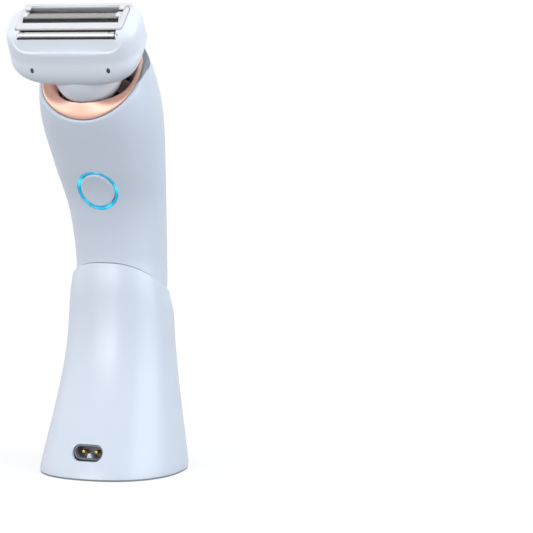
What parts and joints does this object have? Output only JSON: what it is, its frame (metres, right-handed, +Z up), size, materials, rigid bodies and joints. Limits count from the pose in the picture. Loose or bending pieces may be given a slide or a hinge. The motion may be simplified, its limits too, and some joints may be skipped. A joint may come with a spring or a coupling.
{
  "type": "cordless body shaver in a charging stand",
  "caption": "Cordless body shaver with a pivoting foil head, plugged tail down into a flared charging stand with a mains-lead inlet; head tilts, foil floats, button presses, handle lifts out.",
  "frame": {"origin": "on the ground, under the middle of the stand's foot", "axes": "+Z up, the shaver's front with its button and inlet towards -Y, +X to its left hand side as seen from behind, right as seen from the front"},
  "size_m": [0.053, 0.0707, 0.1701],
  "materials": {
    "shell_blue": "satin moulded plastic, pale blue-grey",
    "head_blue": "satin moulded plastic, pale blue-grey",
    "collar_copper": "satin anodised, rose copper",
    "dark_plastic": "fine texture, near black",
    "frame_white": "gloss, white",
    "foil_steel": "thin perforated foil",
    "blade_steel": "ground blades and bright pins",
    "contact_brass": "bright contacts",
    "board_green": "solder mask",
    "glow_ring": "lit light guide, cyan",
    "button_pearl": "satin, paler than the shell",
    "rubber_foot": "matt grey",
    "cell_wrap": "shrink wrap over a steel can"
  },
  "bodies": {
    "stand": {"stand_shell": "shell_blue", "socket_cup": "shell_blue", "base_plate": "shell_blue", "foot_pad": "rubber_foot", "base_screws": "blade_steel", "inlet_socket": "dark_plastic", "inlet_pins": "contact_brass", "charger_board": "board_green", "transformer": "dark_plastic", "dock_contacts": "contact_brass"},
    "handle": {"front_shell": "shell_blue", "back_shell": "shell_blue", "tail_cap": "shell_blue", "tail_contacts": "contact_brass", "neck_collar": "collar_copper", "neck_bowl": "dark_plastic", "motor_frame": "dark_plastic", "frame_screws": "blade_steel", "motor": "blade_steel", "battery_tray": "dark_plastic", "battery": "cell_wrap", "battery_tabs": "blade_steel", "main_board": "board_green", "power_switch": "blade_steel", "light_ring": "glow_ring"},
    "button": {"power_button": "button_pearl"},
    "shaft": {"motor_shaft": "blade_steel", "crank": "contact_brass"},
    "neck": {"pivot_cradle": "dark_plastic", "pivot_pins": "blade_steel"},
    "head": {"head_housing": "head_blue", "head_stem": "head_blue", "float_springs": "blade_steel"},
    "roller": {"guide_roller": "blade_steel"},
    "foil": {"foil_frame": "frame_white", "shaving_foil": "foil_steel", "trimmer_comb": "blade_steel"},
    "cutter": {"cutter_carriage": "dark_plastic", "inner_cutter": "blade_steel", "trimmer_blade": "blade_steel"}
  },
  "joints": [
    {"name": "handle_lift", "type": "slide", "parent": "stand", "child": "handle", "axis": [0, 0, 1], "range_m": [0, 0.06]},
    {"name": "button_press", "type": "slide", "parent": "handle", "child": "button", "axis": [0, 0.8988, 0.4384], "range_m": [0, 0.0008], "stiffness_N_per_m": 600, "springref_m": -0.001},
    {"name": "motor_spin", "type": "hinge", "parent": "handle", "child": "shaft", "pos_m": [0, -0.013, 0.1341], "axis": [0, -0.4384, 0.8988], "continuous": true},
    {"name": "head_pivot", "type": "hinge", "parent": "handle", "child": "neck", "pos_m": [0, -0.013, 0.1341], "axis": [1, 0, 0], "range_deg": [-24, 0], "stiffness_Nm_per_rad": 0.06, "springref_deg": 17.19},
    {"name": "head_release", "type": "slide", "parent": "neck", "child": "head", "axis": [0, -0.7071, 0.7071], "range_m": [0, 0.016]},
    {"name": "roller_spin", "type": "hinge", "parent": "head", "child": "roller", "pos_m": [0, -0.04107, 0.15892], "axis": [1, 0, 0], "continuous": true},
    {"name": "foil_float", "type": "slide", "parent": "head", "child": "foil", "axis": [0, -0.7071, 0.7071], "range_m": [-0.0012, 0], "stiffness_N_per_m": 800, "springref_m": 0.002, "deforming": ["float_springs"]},
    {"name": "cutter_slide", "type": "slide", "parent": "foil", "child": "cutter", "axis": [1, 0, 0], "range_m": [-0.0006, 0.0006]}
  ]
}
